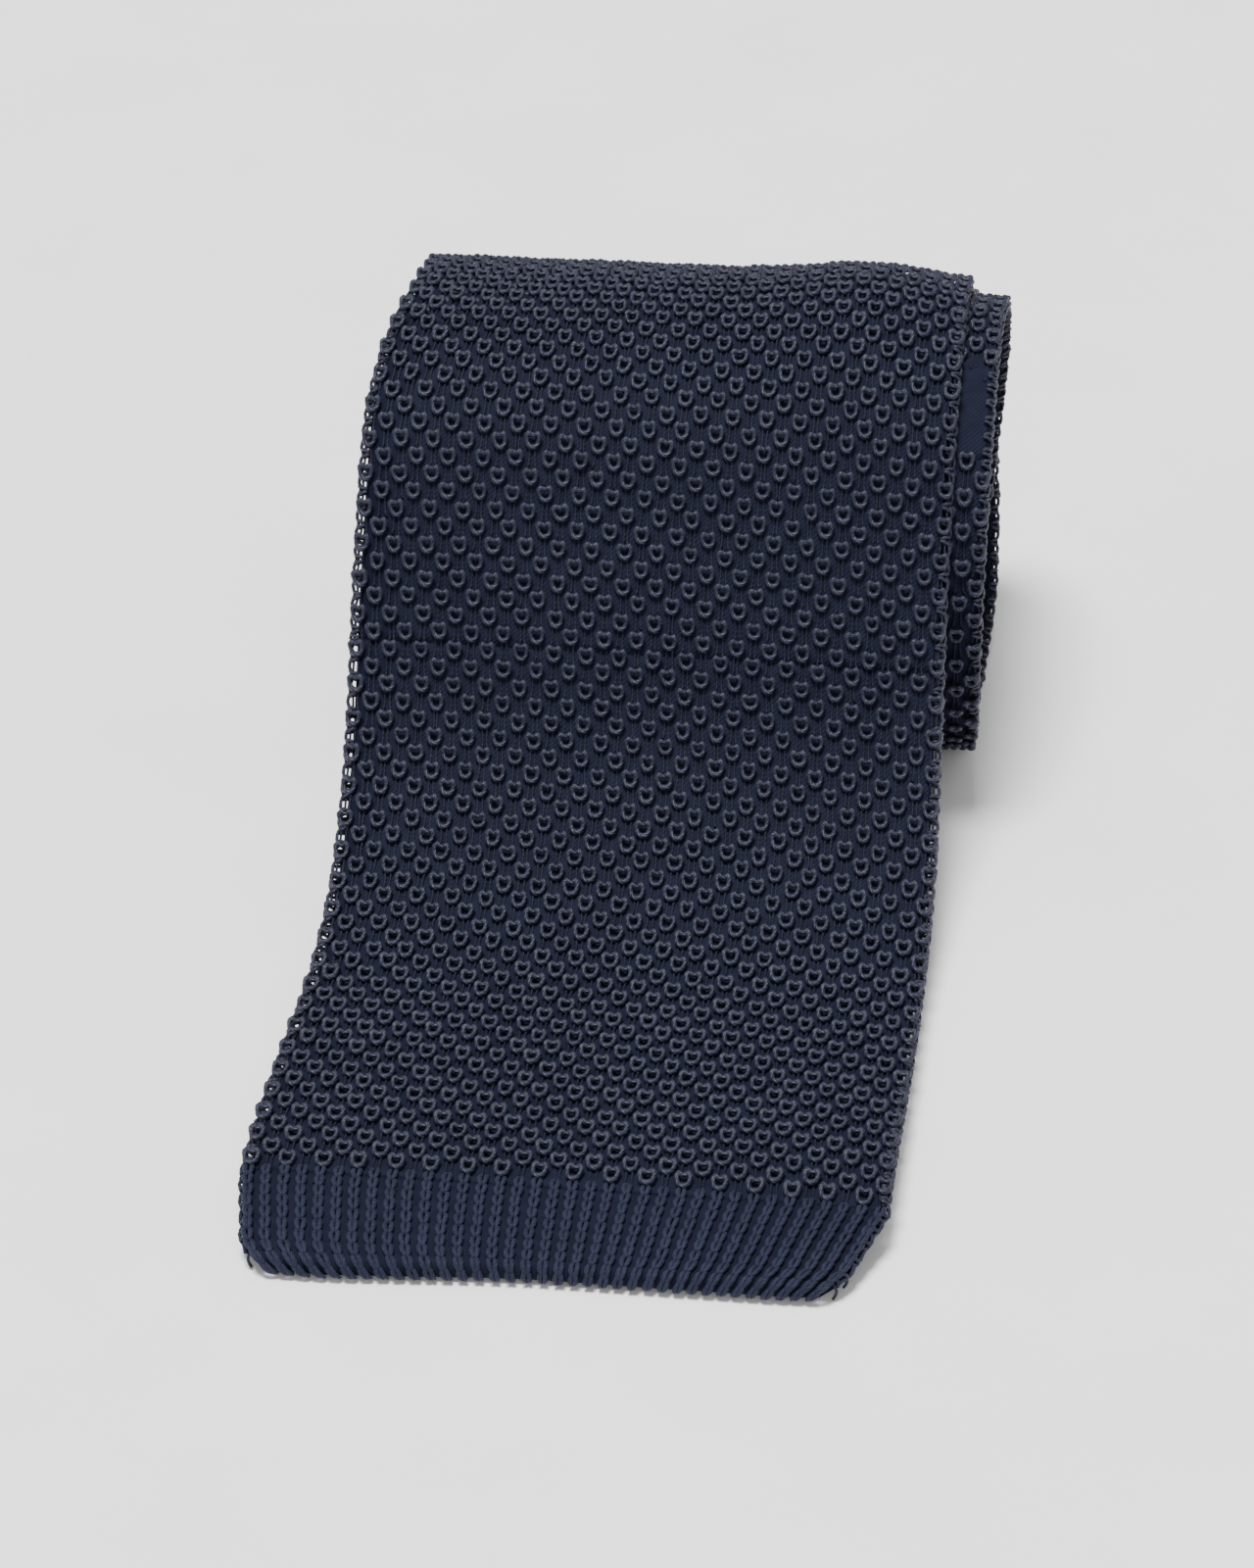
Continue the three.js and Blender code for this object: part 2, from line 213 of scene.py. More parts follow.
def roll_angle(s):
    """Degrees round the roll from its top, positive past the back."""
    return -np.degrees(np.interp(s, S, A))


def half_width(s):
    narrowed = lerp(BLADE_WIDTH, NECK_WIDTH, smooth(s, BLADE_STRAIGHT, NECK_START))
    return lerp(narrowed, TAIL_WIDTH, smooth(s, NECK_END, TAIL_START)) / 2


def width_scale(s, x):
    """The blade is a little narrow over the roll and wide at its hem, whose corners are rounded."""
    ahead = CREST - s
    drawn_in = 0.45 * (1 - smooth(ahead, -20, 30))
    spread = 0.8 * smooth(ahead, 74, 106)
    wider = (spread - drawn_in) * (ahead > -60)
    side = half_width(s)
    from_end = np.maximum(s, 0)
    slant = 0.42 * np.maximum(0, S_HEM - 0.6 - s) + 1.6 * (1 - smooth(from_end, 0.5, 4.5))
    corner = 1.3 * smooth(S_HEM - s, 0, 9) + 3.4 * (1 - np.sqrt(smooth(from_end, 0.6, 5.2)))
    over = 2.9 * (1 - smooth(ahead, -10, 22)) * (1 - smooth(-ahead, 10, 60))
    return (side + wider / 2 - np.where(x > 0, slant, corner + over)) / side


def middle(s):
    """Where the tie's middle line lies across the roll."""
    ahead = CREST - s
    free = -0.5 + 0.95 * bump(ahead, 70, 24) - 0.3 * smooth(ahead, 90, 116)
    out = smooth(s, CREST + 14, CREST + 60)
    settled = smooth(s, S_SECOND + 30, S_SECOND + 95)
    wound = lerp(lerp(-0.5, 3.3, out) - 1.3 * bump(s, CREST + 84, 15), 0.9, settled)
    wander = 0.28 * np.sin(s / 23.0) + 0.2 * np.sin(s / 9.7 + 1.0)
    return BLADE_X + np.where(ahead > 0, free, wound) + wander * smooth(s, S_SECOND, S_SECOND + 60)


def settle(s, x):
    """Height of the cloth over the profile where it doesn't lie quite even across the tie."""
    ahead = CREST - s
    over = bump(ahead, -2, 15)
    ridge = 2.1 * bump(x, 21, 10) - 0.8 - 0.4 * smooth(-x, 5, 20)
    panel = bump(ahead, 55, 22) * (0.5 * np.cos(x / 11.0 + 0.6) + 0.25 * np.sin(x / 6.0))
    edge = -0.55 * smooth(np.abs(x), 26, 32) * smooth(ahead, -30, 20)
    edge = edge * smooth(S_HEM - ahead, -200, 0)
    lift = 0.5 * bump(s, S_HEM + 8, 10) * smooth(x, -5, 25)
    table = 0.5 * smooth(np.cos(np.radians(roll_angle(s) - 180)), 0.955, 1.0) * (s > CREST)
    under = -0.8 * bump(s, CREST + 95, 13) * smooth(x, 12, 26)
    return under + over * ridge + panel + edge * 0.6 + lift - table * (s < S_SECOND)


def skew(s, x):
    """How much further the hem reaches at the left."""
    return 1.6 * smooth(-x, 0, 30) * (1 - smooth(s, 0, S_HEM))


def place(s, x, h):
    """Points of the row frame, in metres, and the face's outward directions there."""
    s, x, h = np.broadcast_arrays(*(np.asarray(v, float) for v in (s, x, h)))
    angle = np.interp(s, S, A)
    y, z = np.interp(s, S, Y) + AXIS_Y, np.interp(s, S, Z)
    height = h + settle(s, x) * (s < S_SECOND)
    across = middle(s) + x * width_scale(s, x)
    y = y - skew(s, x)
    points = np.stack((across, y - np.sin(angle) * height, z + np.cos(angle) * height), -1)
    points[..., 2] = np.maximum(points[..., 2], 0.03)
    normals = np.stack((np.zeros_like(s), -np.sin(angle), np.cos(angle)), -1)
    return points * MM, normals


# ------------------------------------------------------------------ meshes


class Mesh:
    """Collects vertices, faces and a map for the yarn's twist: u along it in mm, v round it."""

    def __init__(self):
        self.points, self.quads, self.caps, self.uv_quads, self.uv_caps = [], [], [], [], []
        self.count = 0

    def grid(self, points, uv, wrap_rows=False, wrap_columns=False):
        """points (..., rows, columns, 3) joined into faces, uv (rows + 1, columns + 1, 2)."""
        rows, columns = points.shape[-3:-1]
        flat = points.reshape(-1, rows * columns, 3)
        i = np.arange(rows if wrap_rows else rows - 1)
        j = np.arange(columns if wrap_columns else columns - 1)
        i, j = [v.ravel() for v in np.meshgrid(i, j, indexing="ij")]
        i2, j2 = (i + 1) % rows, (j + 1) % columns
        quads = np.stack((i * columns + j, i2 * columns + j,
                          i2 * columns + j2, i * columns + j2), -1)
        starts = self.count + np.arange(len(flat))[:, None, None] * rows * columns
        self.quads.append((quads[None] + starts).reshape(-1, 4))
        corners = np.stack((uv[i, j], uv[i + 1, j], uv[i + 1, j + 1], uv[i, j + 1]), 1)
        self.uv_quads.append(np.tile(corners[None], (len(flat), 1, 1, 1)).reshape(-1, 2))
        self.points.append(flat.reshape(-1, 3))
        self.count += len(flat) * rows * columns
        return starts.ravel()

    def cap(self, polygons, uv):
        """polygons (n, sides) of vertex numbers."""
        self.caps.append(polygons)
        self.uv_caps.append(np.broadcast_to(uv, (*polygons.shape, 2)).reshape(-1, 2))

    def tubes(self, paths, normals, radius, sides, closed=False, flat=1.0):
        """Yarn along each of paths (n, points, 3). flat squeezes its section along the normals."""
        if closed:
            tangent = np.roll(paths, -1, 1) - np.roll(paths, 1, 1)
        else:
            tangent = np.gradient(paths, axis=1)
        tangent /= np.linalg.norm(tangent, axis=-1, keepdims=True)
        side = np.cross(tangent, normals)
        side /= np.linalg.norm(side, axis=-1, keepdims=True)
        up = np.cross(side, tangent)
        around = np.arange(sides) * math.tau / sides
        radius = np.broadcast_to(np.asarray(radius, float) * MM, paths.shape[:2])[..., None, None]
        ring = (np.cos(around)[:, None] * side[..., None, :]
                + flat * np.sin(around)[:, None] * up[..., None, :])
        steps = np.linalg.norm(np.diff(paths[:1], axis=1), axis=-1).mean() / MM
        rows = paths.shape[1] + (1 if closed else 0)
        along = np.arange(rows + 1) * steps
        uv = np.stack(np.meshgrid(along, np.arange(sides + 1) / sides, indexing="ij"), -1)
        starts = self.grid(paths[..., None, :] + radius * ring, uv, closed, True)
        if not closed:
            first = starts[:, None] + np.arange(sides)
            last = first[:, ::-1] + (paths.shape[1] - 1) * sides
            self.cap(first, (0.0, 0.5))
            self.cap(last, (0.0, 0.5))

    def build(self, name, material):
        points = np.concatenate(self.points)
        quads = np.concatenate(self.quads)
        loops = [quads.ravel()] + [c.ravel() for c in self.caps]
        totals = [np.full(len(quads), 4)] + [np.full(len(c), c.shape[1]) for c in self.caps]
        loops, totals = np.concatenate(loops), np.concatenate(totals)
        mesh = bpy.data.meshes.new(name)
        mesh.vertices.add(len(points))
        mesh.vertices.foreach_set("co", points.astype(np.float32).ravel())
        mesh.loops.add(len(loops))
        mesh.loops.foreach_set("vertex_index", loops.astype(np.int32))
        mesh.polygons.add(len(totals))
        mesh.polygons.foreach_set(
            "loop_start", np.concatenate(([0], np.cumsum(totals)[:-1])).astype(np.int32))
        mesh.update(calc_edges=True)
        mesh.polygons.foreach_set("use_smooth", np.ones(len(totals), bool))
        layer = mesh.uv_layers.new(name="yarn")
        layer.uv.foreach_set(
            "vector", np.concatenate(self.uv_quads + self.uv_caps).astype(np.float32).ravel())
        mesh.materials.append(material)
        mesh.validate()
        piece = bpy.data.objects.new(name, mesh)
        bpy.context.scene.collection.objects.link(piece)
        return piece


def resample(points, count, closed):
    """A smooth curve through points, at count even steps of its length."""
    points = np.asarray(points, float)
    n = len(points)
    fine = []
    spans = n if closed else n - 1
    for i in range(spans):
        p = [points[(i + k) % n] if closed else points[min(max(i + k, 0), n - 1)]
             for k in (-1, 0, 1, 2)]
        t = np.linspace(0, 1, 12, endpoint=False)[:, None]
        fine.append(0.5 * (2 * p[1] + (p[2] - p[0]) * t
                           + (2 * p[0] - 5 * p[1] + 4 * p[2] - p[3]) * t ** 2
                           + (3 * p[1] - p[0] - 3 * p[2] + p[3]) * t ** 3))
    fine.append(points[:1] if closed else points[-1:])
    fine = np.vstack(fine)
    run = np.concatenate(([0], np.cumsum(np.linalg.norm(np.diff(fine[:, :3], axis=0), axis=1))))
    at = np.linspace(0, run[-1], count + (1 if closed else 0))[:count]
    return np.column_stack([np.interp(at, run, column) for column in fine.T])


# ------------------------------------------------------------------ the knit

WALES = 36
WALE = BLADE_WIDTH / WALES
PERIOD = 3.763
FIRST_COURSE = 1.15
LATTICE_MARGIN = 4
BOW_RISE, BOW_BEND = 0.045, 0.1

# One stitch head as the yarn runs: across, along towards the roll's top, height and radius, in mm.
half_head = [(0, 0.46, 0.44, 0.25), (0.28, 0.54, 0.52, 0.29), (0.56, 0.60, 0.60, 0.34),
             (0.67, 0.34, 0.50, 0.28), (0.62, 0.0, 0.32, 0.24), (0.54, -0.36, 0.22, 0.26),
             (0.34, -0.66, 0.18, 0.31)]
HEAD = resample(half_head + [(0, -0.76, 0.16, 0.34)]
                + [(-x, v, h, r) for x, v, h, r in half_head[:0:-1]], 18, True)
STRAND = resample([(0.34, -0.50, 0.0, 0.15), (0.27, -1.1, -0.16, 0.14), (0.25, -1.80, -0.24, 0.13),
                   (0.28, -2.60, -0.20, 0.14), (0.40, -3.10, -0.05, 0.15)], 6, False)
V_LEG = resample([(0.04, 0.0, -0.06, 0.2), (0.24, 0.45, 0.12, 0.25), (0.32, 1.0, 0.14, 0.26),
                  (0.22, 1.55, -0.08, 0.2)], 6, False)
V_PITCH = 1.22

# The back's heads, as shares of the face's height and yarn.
BACK_RELIEF, BACK_YARN = 0.6, 0.9

EDGE_YARN, EDGE_INSET, EDGE_REACH, CHAIN_STEP = 0.2, 0.95, 0.78, 0.47


def bowed(s, x):
    """Courses arch across the blade."""
    across = x + BLADE_WIDTH / 2
    return s + BOW_RISE * across - BOW_BEND * across ** 2 / (4 * BLADE_WIDTH / 2)


def lattice(first, last, wales):
    """Places of the stitch heads whose middles lie from first to last. Wales alternate."""
    lowest = math.floor((first - LATTICE_MARGIN - S_HEM) / PERIOD)
    highest = math.ceil((last + LATTICE_MARGIN - S_HEM) / PERIOD)
    wale, row = [v.ravel() for v in np.meshgrid(wales, np.arange(lowest, highest))]
    x = (wale - (WALES - 1) / 2) * WALE
    s = bowed(S_HEM + FIRST_COURSE + (row + 0.5 * (wale % 2)) * PERIOD, x)
    keep = (s >= first) & (s < last)
    return s[keep], x[keep]


def scattered(s, x, shape, turn=0.07, size=0.05, shift=0.06, lift=0.05):
    """The shape at every place, each a little turned, sized and moved."""
    n = len(s)
    angle = rng.normal(0, turn, n)[:, None]
    scale = 1 + rng.normal(0, size, (n, 2))
    u, v = shape[:, 0] * scale[:, :1], shape[:, 1] * scale[:, 1:]
    across = x[:, None] + rng.normal(0, shift, n)[:, None] + u * np.cos(angle) - v * np.sin(angle)
    along = s[:, None] + rng.normal(0, shift, n)[:, None] + u * np.sin(angle) + v * np.cos(angle)
    height = shape[:, 2] + rng.normal(0, lift, n)[:, None]
    return along, across, np.broadcast_to(height, along.shape)


def back_heads(heads, first, last):
    """The heads on the outside of the folded back, clear of the seam."""
    s, x = lattice(first, last, ALL_WALES)
    s, x = s[np.abs(x) > WALE], x[np.abs(x) > WALE]
    along, across, height = scattered(s, x, HEAD[::2])
    points, normals = place(along, across, -depth(along) - height * BACK_RELIEF)
    heads.tubes(points, -normals, HEAD[::2, 3] * BACK_YARN, 5, closed=True)


def stitch_heads(heads, strands, first, last, wales, low=0.0):
    """The raised heads, and the sunken yarn that runs down from each to the next in its wale."""
    s, x = lattice(first, last, wales)
    along, across, height = scattered(s, x, HEAD)
    points, normals = place(along, across, low + height)
    radius = HEAD[:, 3] * (1 + rng.normal(0, 0.06, len(s)))[:, None]
    heads.tubes(points, normals, radius, 6, closed=True)
    for side in (-1, 1):
        along, across, height = scattered(s, x, STRAND * (side, 1, 1, 1), turn=0.03, shift=0.03)
        points, normals = place(along, across, low + height)
        strands.tubes(points, normals, STRAND[:, 3], 5)


def edge_loops(mesh, first, last, side):
    """The loops round the fold at one edge, and the chain of yarn that joins them."""
    course = PERIOD / 2
    s = np.arange(first + course / 2, last, course)
    s = s + rng.normal(0, 0.08, len(s))
    turn = np.linspace(0.55 * math.pi, -0.55 * math.pi, 8)
    deep = depth(s)[:, None]
    for lean in (-0.46, 0.42):
        stray = rng.normal(0, 0.05, (len(s), 1))
        along = s[:, None] + lean * (0.35 + 0.65 * np.cos(turn)) + stray
        reach = EDGE_REACH + rng.normal(0, 0.05, (len(s), 1))
        out = (half_width(s) - EDGE_INSET)[:, None] + reach * np.cos(turn)
        height = -deep / 2 + (deep / 2 + 0.1) * np.sin(turn)
        points, _ = place(along, side * out, height)
        angle = np.interp(along, S, A)
        out_n, up_n = np.cos(turn), np.sin(turn)
        normals = np.stack((side * np.broadcast_to(out_n, along.shape),
                            -np.sin(angle) * up_n, np.cos(angle) * up_n), -1)
        mesh.tubes(points, normals, EDGE_YARN, 5)
    count = max(2, int((last - first) / CHAIN_STEP))
    along = np.linspace(first, last, count)
    wave = math.tau * (along - first) / course
    out = half_width(along) - 0.2 + 0.13 * np.cos(wave)
    height = -depth(along) / 2 + 0.22 * np.sin(wave)
    points, _ = place(along, side * out, height)
    normals = np.zeros_like(points) + (side, 0, 0)
    mesh.tubes(points[None], normals[None], EDGE_YARN, 5)


def ribs(mesh, first, last):
    """Plain knit: a column of V stitches in every wale."""
    rows = np.arange(first, last - V_PITCH * 0.6, V_PITCH)
    wale, row = [v.ravel() for v in np.meshgrid(np.arange(WALES), rows)]
    x = (wale - (WALES - 1) / 2) * WALE
    s = row + bowed(0, x) * smooth(row, first, last)
    for side in (-1, 1):
        along, across, height = scattered(s, x, V_LEG * (side, 1, 1, 1), 0.03, 0.03, 0.02, 0.02)
        points, normals = place(along, across, height)
        mesh.tubes(points, normals, V_LEG[:, 3], 6, flat=0.8)


# ------------------------------------------------------------------ materials


def material(name, build):
    made = bpy.data.materials.new(name)
    made.use_nodes = True
    nodes, links = made.node_tree.nodes, made.node_tree.links
    build(nodes, links, nodes["Principled BSDF"])
    return made


def math_node(nodes, links, kind, a, b=None):
    node = nodes.new("ShaderNodeMath")
    node.operation = kind
    for socket, value in zip(node.inputs, (a, b)):
        if value is None:
            continue
        if isinstance(value, (int, float)):
            socket.default_value = value
        else:
            links.new(value, socket)
    return node.outputs[0]


def noise(nodes, links, vector, scale, detail=2.0, rough=0.5):
    node = nodes.new("ShaderNodeTexNoise")
    node.inputs["Scale"].default_value = scale
    node.inputs["Detail"].default_value = detail
    node.inputs["Roughness"].default_value = rough
    links.new(vector, node.inputs["Vector"])
    return node.outputs["Fac"]


def ramp(nodes, links, value, stops):
    node = nodes.new("ShaderNodeValToRGB")
    links.new(value, node.inputs[0])
    elements = node.color_ramp.elements
    while len(elements) < len(stops):
        elements.new(0.5)
    for element, (at, colour) in zip(elements, stops):
        element.position = at
        element.color = (*colour, 1)
    return node.outputs[0]


def bumped(nodes, links, shader, height, strength, distance):
    node = nodes.new("ShaderNodeBump")
    node.inputs["Strength"].default_value = strength
    node.inputs["Distance"].default_value = distance
    links.new(height, node.inputs["Height"])
    links.new(node.outputs[0], shader.inputs["Normal"])


FILAMENTS, PATCHES, BROAD_TONE = 5200.0, 700.0, 60.0


def yarn_material(name, dark, mid, light, roughness, sheen, twist=1.1, gloss=0.35):
    """Two-ply yarn of fine filaments: the plies wind round it, the filaments along the plies."""
    def build(nodes, links, shader):
        at = nodes.new("ShaderNodeUVMap")
        at.uv_map = "yarn"
        split = nodes.new("ShaderNodeSeparateXYZ")
        links.new(at.outputs[0], split.inputs[0])
        turn = math_node(nodes, links, "MULTIPLY", split.outputs[0], math.tau / twist)
        around = math_node(nodes, links, "MULTIPLY", split.outputs[1], 2 * math.tau)
        ply = math_node(nodes, links, "SINE", math_node(nodes, links, "ADD", turn, around))
        ply = math_node(nodes, links, "ABSOLUTE", ply)
        place_of = nodes.new("ShaderNodeTexCoord").outputs["Object"]
        fine = noise(nodes, links, place_of, FILAMENTS, 2.0, 0.6)
        patch = noise(nodes, links, place_of, PATCHES, 2.0, 0.5)
        broad = noise(nodes, links, place_of, BROAD_TONE, 2.0, 0.5)
        fluff = math_node(nodes, links, "MULTIPLY", fine, 0.9)
        height = math_node(nodes, links, "ADD", ply, fluff)
        bumped(nodes, links, shader, height, 0.7, 0.00007)
        tone = math_node(nodes, links, "ADD",
                         math_node(nodes, links, "MULTIPLY", patch, 0.7),
                         math_node(nodes, links, "MULTIPLY", broad, 0.3))
        # The grooves between the plies are painted a little darker than their crowns: painted shade.
        tone = math_node(nodes, links, "ADD", tone, math_node(nodes, links, "MULTIPLY", ply, 0.12))
        colour = ramp(nodes, links, tone, [(0.3, dark), (0.55, mid), (0.78, light)])
        links.new(colour, shader.inputs["Base Color"])
        rough = math_node(nodes, links, "MULTIPLY", fine, 0.25)
        links.new(math_node(nodes, links, "ADD", rough, roughness - 0.12), shader.inputs["Roughness"])
        shader.inputs["Specular IOR Level"].default_value = gloss
        shader.inputs["Sheen Weight"].default_value = sheen
        shader.inputs["Sheen Roughness"].default_value = 0.45
        shader.inputs["Sheen Tint"].default_value = (0.55, 0.6, 0.85, 1)
    return material(name, build)


def woven_material(name, dark, light, roughness, across, along, sheen=0.1):
    """A fine woven tape or satin, from the strip's own map in mm."""
    def build(nodes, links, shader):
        at = nodes.new("ShaderNodeUVMap")
        at.uv_map = "yarn"
        split = nodes.new("ShaderNodeSeparateXYZ")
        links.new(at.outputs[0], split.inputs[0])
        warp = math_node(nodes, links, "SINE",
                         math_node(nodes, links, "MULTIPLY", split.outputs[0], math.tau / across))
        weft = math_node(nodes, links, "SINE",
                         math_node(nodes, links, "MULTIPLY", split.outputs[1], math.tau / along))
        cloth = math_node(nodes, links, "MULTIPLY", warp, weft)
        fine = noise(nodes, links, nodes.new("ShaderNodeTexCoord").outputs["Object"], 900.0, 3.0)
        height = math_node(nodes, links, "ADD", cloth, fine)
        bumped(nodes, links, shader, height, 0.4, 0.00004)
        colour = ramp(nodes, links, fine, [(0.3, dark), (0.7, light)])
        links.new(colour, shader.inputs["Base Color"])
        rough = math_node(nodes, links, "MULTIPLY", fine, 0.2)
        links.new(math_node(nodes, links, "ADD", rough, roughness), shader.inputs["Roughness"])
        shader.inputs["Sheen Weight"].default_value = sheen
    return material(name, build)


YARN = yarn_material("navy_yarn", (0.0045, 0.0055, 0.0165), (0.0078, 0.0092, 0.024),
                     (0.0125, 0.0145, 0.033), 0.48, 0.04, gloss=0.36)
# A darker copy of the navy yarn for the sunken floats: painted shade where they lie deep between the
# heads.
SHADED_YARN = yarn_material("navy_yarn_painted_shade", (0.004, 0.0048, 0.014), (0.006, 0.0072, 0.019),
                          (0.009, 0.011, 0.026), 0.6, 0.0, gloss=0.2)
# A still darker copy for the cloth under the stitches: painted shade in the hollows seen between
# them.
SHADED_GROUND = yarn_material("navy_ground_painted_shade", (0.0036, 0.0043, 0.0125), (0.0052, 0.0062, 0.017),
                       (0.0075, 0.009, 0.022), 0.75, 0.0, gloss=0.1)
RIB = yarn_material("navy_rib", (0.007, 0.0085, 0.021), (0.010, 0.012, 0.028),
                    (0.014, 0.016, 0.036), 0.6, 0.06, gloss=0.15)
# A darker copy of the rib yarn for the hem's cloth: painted shade in the gaps between the ribs.
SHADED_RIB_GROUND = yarn_material("navy_rib_ground_painted_shade", (0.0035, 0.0042, 0.012), (0.005, 0.006, 0.016),
                           (0.007, 0.0085, 0.021), 0.7, 0.0, gloss=0.1)
THREAD = yarn_material("navy_thread", (0.005, 0.006, 0.016), (0.008, 0.010, 0.024),
                       (0.014, 0.017, 0.034), 0.5, 0.03, twist=0.7, gloss=0.2)
SATIN = woven_material("black_satin", (0.006, 0.007, 0.012), (0.011, 0.012, 0.02), 0.28, 0.2, 0.5)
TAPE = woven_material("white_tape", (0.60, 0.58, 0.52), (0.72, 0.70, 0.64), 0.7, 0.4, 0.4)

# ------------------------------------------------------------------ the cloth


FACE_COLUMNS, BACK_COLUMNS = 15, 7


def cloth(name, first, last, low, step):
    """The folded knitted tube, open along the slot in the middle of its back."""
    count = max(3, int((last - first) / step) + 1)
    s = np.linspace(first, last, count)[:, None]
    w = half_width(s) - lerp(0.85, 0.4, smooth(s, CREST, CREST + 15))
    back = -depth(s)
    mid, outer = (low + back) / 2, (low - back) / 2
    slot, wall = 0.35, 0.22
    turn = np.radians([60, 30, 0, -30, -60])
    across, height = [], []

    def add(x, h):
        across.append(np.broadcast_to(x, s.shape))
        height.append(np.broadcast_to(h, s.shape))

    inner_low, inner_back = low - wall, back + wall
    for t in np.linspace(-1, 1, FACE_COLUMNS):
        add(t * (w - outer), low)
    for a in turn:
        add(w - outer + outer * np.cos(a), mid + outer * np.sin(a))
    for t in np.linspace(1, 0, BACK_COLUMNS):
        add(slot + t * (w - outer - slot), back)
    for t in np.linspace(0, 1, BACK_COLUMNS):
        add(slot + t * (w - outer - slot), inner_back)
    add(w - outer, (inner_low + inner_back) / 2)
    for t in np.linspace(1, -1, FACE_COLUMNS):
        add(t * (w - outer), inner_low)
    add(-(w - outer), (inner_low + inner_back) / 2)
    for t in np.linspace(1, 0, BACK_COLUMNS):
        add(-slot - t * (w - outer - slot), inner_back)
    for t in np.linspace(0, 1, BACK_COLUMNS):
        add(-slot - t * (w - outer - slot), back)
    for a in -turn - math.pi:
        add(-(w - outer) + outer * np.cos(a), mid + outer * np.sin(a))
    across, height = np.hstack(across), np.hstack(height)
    points, _ = place(s, across, height)
    mesh = Mesh()
    columns = points.shape[1]
    uv = np.stack(np.meshgrid(np.arange(count + 1) * step, np.arange(columns + 1) * 2.0,
                              indexing="ij"), -1)
    start = mesh.grid(points[::-1], uv, False, True)[0]
    ring = start + np.arange(columns)
    cap_ring(mesh, ring)
    cap_ring(mesh, (ring + (count - 1) * columns)[::-1])
    # The cloth takes the dark ground yarn, painted shade where it shows between the stitches.
    return mesh.build(name, SHADED_GROUND)


def cap_ring(mesh, ring):
    """Closes one end of a tube of cloth with one face."""
    mesh.cap(ring[None], (0.0, 0.0))


def strip(name, first, last, left, right, top, thickness, material_of, step=1.5, columns=9):
    """A flat piece that follows the tie at a height."""
    count = max(3, int((last - first) / step) + 1)
    s = np.linspace(first, last, count)[:, None]
    t = np.linspace(0, 1, columns)
    x = np.concatenate((lerp(left, right, t), lerp(right, left, t)))[None]
    h = np.concatenate((np.zeros(columns), np.full(columns, -thickness)))[None] + top(s)
    points, _ = place(s, x, h)
    mesh = Mesh()
    total = 2 * columns
    width = abs(right - left) / (columns - 1)
    uv = np.stack(np.meshgrid(np.arange(count + 1) * step, np.arange(total + 1) * width,
                              indexing="ij"), -1)
    start = mesh.grid(points[::-1], uv, False, True)[0]
    ring = start + np.arange(total)
    cap_ring(mesh, ring)
    cap_ring(mesh, (ring + (count - 1) * total)[::-1])
    return mesh.build(name, material_of)


def seam(name, first, last):
    """A zigzag of thread that closes the tube along the middle of its back."""
    count = max(4, int((last - first) / 0.6))
    s = np.linspace(first, last, count)
    zig = 0.42 * np.where(np.arange(count) % 4 < 2, -1.0, 1.0)
    points, normals = place(s, zig, -depth(s) - 0.02)
    mesh = Mesh()
    mesh.tubes(points[None], -normals[None], 0.13, 5)
    return mesh.build(name, THREAD)


# ------------------------------------------------------------------ joints

def rides(piece, *, body=None, joint=None):
    """Makes a piece follow one body, or, at a joint, only bakes its transform into its mesh."""
    if body:
        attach(piece, body)
        return piece
    parent, child, s, reach = joint
    start, end = (place(s + k * reach, 0.0, -0.5)[0] for k in (-1, 1))
    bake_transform(piece)
    return piece


AT_HEM = ("blade_end", "hem", S_HEM, 5.0)
AT_FOOT = ("front_panel", "blade_end", S_FOOT, 11.0)
AT_PEEL = ("roll", "front_panel", S_PEEL, 10.0)

# Stretches of the tie, each with what it follows, the CAD nodes it stands for and its knit.
STRETCHES = [
    ("blade_end_knit", S_HEM, S_A, dict(joint=AT_HEM), ["blade_end_shell"], ["blade_end_seam"]),
    ("foot_knit", S_A, S_B, dict(joint=AT_FOOT), [], []),
    ("front_panel_knit", S_B, S_C, dict(joint=AT_PEEL), ["front_panel_shell"],
     ["front_panel_seam"]),
    ("outer_turn_knit", S_C, S_SECOND, dict(body="roll"), ["outer_turn_shell"],
     ["outer_turn_seam"]),
    ("second_turn_knit", S_SECOND, S_THIRD, dict(body="roll"), ["second_turn_shell"],
     ["second_turn_seam"]),
    ("inner_blade_knit", S_THIRD, NECK_START, dict(body="roll"), ["inner_blade_shell"],
     ["inner_blade_seam"]),
    ("neck_knit", NECK_START, NECK_END, dict(body="roll"), ["neck_shell"], ["neck_seam"]),
    ("tail_knit", NECK_END, S_END - TAIL_HEM_LENGTH, dict(body="roll"), ["tail_shell"],
     ["tail_seam"]),
]
ALL_WALES = np.arange(WALES)
EDGE_WALES = ALL_WALES[-3:]

# Where the second turn's stitches start, and how far round they go in every wale.
SECOND_START, SECOND_SHOWN = 12, 150

